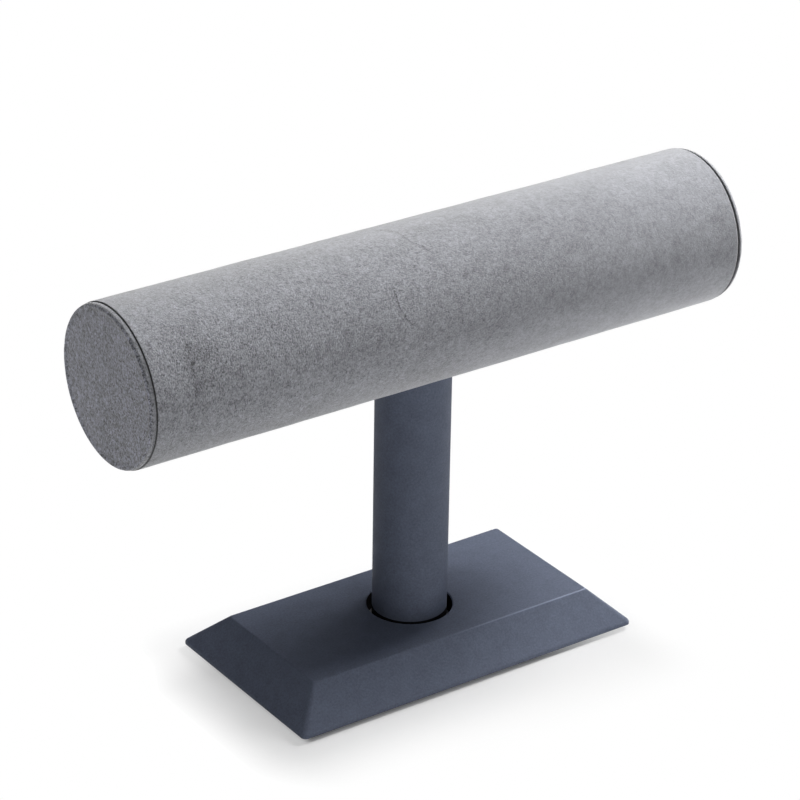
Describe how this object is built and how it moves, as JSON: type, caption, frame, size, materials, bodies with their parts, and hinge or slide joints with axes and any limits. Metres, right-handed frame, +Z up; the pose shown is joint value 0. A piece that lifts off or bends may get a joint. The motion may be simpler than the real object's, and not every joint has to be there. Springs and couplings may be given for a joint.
{
  "type": "jewelry stand",
  "caption": "T-bar bracelet and watch stand: a suede-covered round bar on a round coated post over a weighted, bevelled rectangular base.",
  "frame": {"origin": "on the surface it stands on, under the axis of the post", "axes": "+X along the bar, +Y to the back, +Z up the post"},
  "size_m": [0.209, 0.067, 0.1379],
  "materials": {
    "grey_suede": "short brushed microsuede nap",
    "slate_powder_coat": "fine satin powder coat",
    "non_slip_pad": "matt foam",
    "ballast_steel": "rolled, oiled",
    "bright_fastener": "zinc plated",
    "turned_steel": "turned",
    "core_board": "wound board",
    "moulded_plug": "moulded, satin"
  },
  "bodies": {
    "root": {"base_pad": "non_slip_pad", "base_shell": "slate_powder_coat", "ballast_plate": "ballast_steel", "front_left_screw": "bright_fastener", "front_right_screw": "bright_fastener", "back_left_screw": "bright_fastener", "back_right_screw": "bright_fastener", "foot_screw": "bright_fastener", "post_foot_plug": "turned_steel", "post_tube": "slate_powder_coat", "post_head_plug": "turned_steel", "bar_core": "core_board", "saddle_washer": "turned_steel", "spring_washer": "bright_fastener", "bar_bolt": "bright_fastener", "bar_wrap": "grey_suede", "left_end_plug": "moulded_plug", "right_end_plug": "moulded_plug", "left_end_cover": "grey_suede", "right_end_cover": "grey_suede"}
  },
  "joints": []
}
